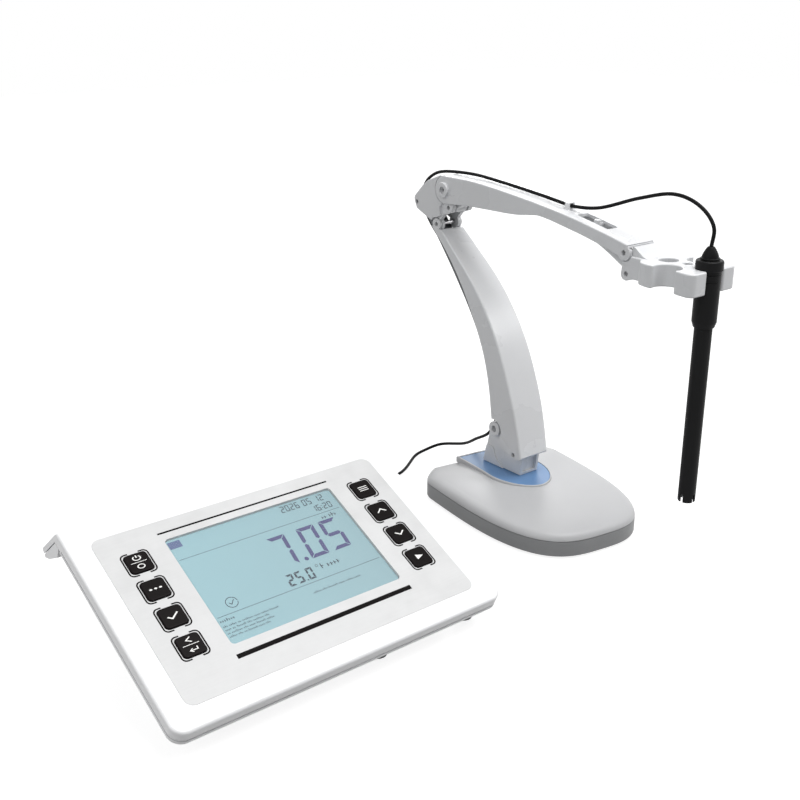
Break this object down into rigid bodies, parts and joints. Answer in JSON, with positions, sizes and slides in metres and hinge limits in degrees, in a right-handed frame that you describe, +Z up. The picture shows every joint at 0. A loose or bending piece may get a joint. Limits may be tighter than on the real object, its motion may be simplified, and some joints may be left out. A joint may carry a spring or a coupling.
{
  "type": "benchtop pH meter with electrode stand",
  "caption": "Benchtop pH meter with a sloping keypad and display, beside a stand whose jointed arm holds a measuring electrode on its lead.",
  "frame": {"origin": "the stand's swivel axis at the bench, on the underside of the stand's pad", "axes": "+X to the right seen from the front of the meter, +Y to the back, +Z up"},
  "size_m": [0.4534, 0.3148, 0.2712],
  "materials": {
    "case_white": "satin",
    "panel_grey": "printed, fine texture",
    "key_black": "semi-gloss",
    "display_glass": "clear",
    "display": "liquid crystal",
    "board": "lacquered",
    "connector_metal": "bright",
    "connector_black": "matte",
    "rubber": "matte",
    "base_grey": "fine texture",
    "base_top": "fine texture",
    "inlay_blue": "fine texture",
    "arm_grey": "fine satin texture",
    "link_dark": "satin",
    "pin_steel": "ground",
    "electrode_black": "satin",
    "bulb_glass": "clear",
    "cord_black": "satin"
  },
  "bodies": {
    "meter_and_base": {"top_case": "case_white", "bottom_case": "case_white", "overlay_panel": "panel_grey", "lcd_window": "display_glass", "lcd_module": "display", "main_board": "board", "rear_panel": "panel_grey", "bnc_socket": "connector_metal", "reference_socket": "connector_metal", "probe_socket": "connector_black", "data_port": "connector_metal", "power_jack": "connector_black", "front_foot_left": "rubber", "front_foot_middle": "rubber", "front_foot_right": "rubber", "rear_foot_left": "rubber", "rear_foot_right": "rubber", "base_plate": "base_grey", "base_cover": "base_top", "base_inlay": "inlay_blue", "base_pad": "rubber", "swivel_bolt": "pin_steel", "bnc_plug": "connector_metal", "cord_8": "cord_black", "cord_9": "cord_black"},
    "bracket": {"swivel_bracket": "arm_grey", "pin_arm_foot": "pin_steel", "pin_link_foot": "pin_steel"},
    "lower_arm_body": {"lower_arm": "arm_grey", "pin_arm_elbow": "pin_steel"},
    "lower_link_body": {"lower_link": "link_dark", "cord_6": "cord_black", "cord_7": "cord_black"},
    "elbow": {"elbow_bracket": "arm_grey", "pin_link_elbow": "pin_steel", "pin_upper_arm": "pin_steel", "pin_upper_link": "pin_steel", "cord_5": "cord_black"},
    "upper_arm_body": {"upper_arm": "arm_grey", "cord_3": "cord_black", "cord_4": "cord_black"},
    "upper_link_body": {"upper_link": "link_dark"},
    "head": {"electrode_holder": "arm_grey", "pin_head_arm": "pin_steel", "pin_head_link": "pin_steel", "cord_2": "cord_black"},
    "electrode": {"electrode_cap": "electrode_black", "electrode_shaft": "electrode_black", "glass_bulb": "bulb_glass", "cord_boot": "electrode_black", "cord_1": "cord_black"},
    "key_left_1_body": {"key_left_1": "key_black"},
    "key_left_2_body": {"key_left_2": "key_black"},
    "key_left_3_body": {"key_left_3": "key_black"},
    "key_left_4_body": {"key_left_4": "key_black"},
    "key_right_1_body": {"key_right_1": "key_black"},
    "key_right_2_body": {"key_right_2": "key_black"},
    "key_right_3_body": {"key_right_3": "key_black"},
    "key_right_4_body": {"key_right_4": "key_black"}
  },
  "joints": [
    {"name": "swivel", "type": "hinge", "parent": "meter_and_base", "child": "bracket", "pos_m": [0, 0, 0.026], "axis": [0, 0, 1], "range_deg": [-30, 90], "deforming": ["cord_8"]},
    {"name": "lower_fold", "type": "hinge", "parent": "bracket", "child": "lower_arm_body", "pos_m": [0, -0.0275, 0.0438], "axis": [1, 0, 0], "range_deg": [-5, 25]},
    {"name": "lower_link_fold", "type": "hinge", "parent": "bracket", "child": "lower_link_body", "pos_m": [0, -0.004, 0.0593], "axis": [1, 0, 0], "range_deg": [-5, 25], "deforming": ["cord_7"]},
    {"name": "elbow_fold", "type": "hinge", "parent": "lower_link_body", "child": "elbow", "pos_m": [0, 0.099, 0.2315], "axis": [1, 0, 0], "range_deg": [-25, 5], "deforming": ["cord_5"]},
    {"name": "upper_fold", "type": "hinge", "parent": "elbow", "child": "upper_arm_body", "pos_m": [0, 0.0642, 0.2458], "axis": [1, 0, 0], "range_deg": [-25, 10], "deforming": ["cord_4"]},
    {"name": "upper_link_fold", "type": "hinge", "parent": "elbow", "child": "upper_link_body", "pos_m": [0, 0.0617, 0.2313], "axis": [1, 0, 0], "range_deg": [-25, 10]},
    {"name": "head_fold", "type": "hinge", "parent": "upper_arm_body", "child": "head", "pos_m": [0, -0.1258, 0.2276], "axis": [1, 0, 0], "range_deg": [-10, 25], "deforming": ["cord_2"]},
    {"name": "electrode_lift", "type": "slide", "parent": "head", "child": "electrode", "axis": [0, 0, 1], "range_m": [0, 0.03], "deforming": ["cord_1"]},
    {"name": "key_left_1_press", "type": "slide", "parent": "meter_and_base", "child": "key_left_1_body", "axis": [0, 0.4002, -0.9164], "range_m": [0, 0.0005], "stiffness_N_per_m": 1500, "springref_m": -0.0005},
    {"name": "key_left_2_press", "type": "slide", "parent": "meter_and_base", "child": "key_left_2_body", "axis": [0, 0.4002, -0.9164], "range_m": [0, 0.0005], "stiffness_N_per_m": 1500, "springref_m": -0.0005},
    {"name": "key_left_3_press", "type": "slide", "parent": "meter_and_base", "child": "key_left_3_body", "axis": [0, 0.4002, -0.9164], "range_m": [0, 0.0005], "stiffness_N_per_m": 1500, "springref_m": -0.0005},
    {"name": "key_left_4_press", "type": "slide", "parent": "meter_and_base", "child": "key_left_4_body", "axis": [0, 0.4002, -0.9164], "range_m": [0, 0.0005], "stiffness_N_per_m": 1500, "springref_m": -0.0005},
    {"name": "key_right_1_press", "type": "slide", "parent": "meter_and_base", "child": "key_right_1_body", "axis": [0, 0.4002, -0.9164], "range_m": [0, 0.0005], "stiffness_N_per_m": 1500, "springref_m": -0.0005},
    {"name": "key_right_2_press", "type": "slide", "parent": "meter_and_base", "child": "key_right_2_body", "axis": [0, 0.4002, -0.9164], "range_m": [0, 0.0005], "stiffness_N_per_m": 1500, "springref_m": -0.0005},
    {"name": "key_right_3_press", "type": "slide", "parent": "meter_and_base", "child": "key_right_3_body", "axis": [0, 0.4002, -0.9164], "range_m": [0, 0.0005], "stiffness_N_per_m": 1500, "springref_m": -0.0005},
    {"name": "key_right_4_press", "type": "slide", "parent": "meter_and_base", "child": "key_right_4_body", "axis": [0, 0.4002, -0.9164], "range_m": [0, 0.0005], "stiffness_N_per_m": 1500, "springref_m": -0.0005}
  ],
  "couplings": [
    {"joint": "lower_link_fold", "follows": "lower_fold", "ratio": 1},
    {"joint": "elbow_fold", "follows": "lower_fold", "ratio": -1},
    {"joint": "upper_link_fold", "follows": "upper_fold", "ratio": 1},
    {"joint": "head_fold", "follows": "upper_fold", "ratio": -1}
  ]
}
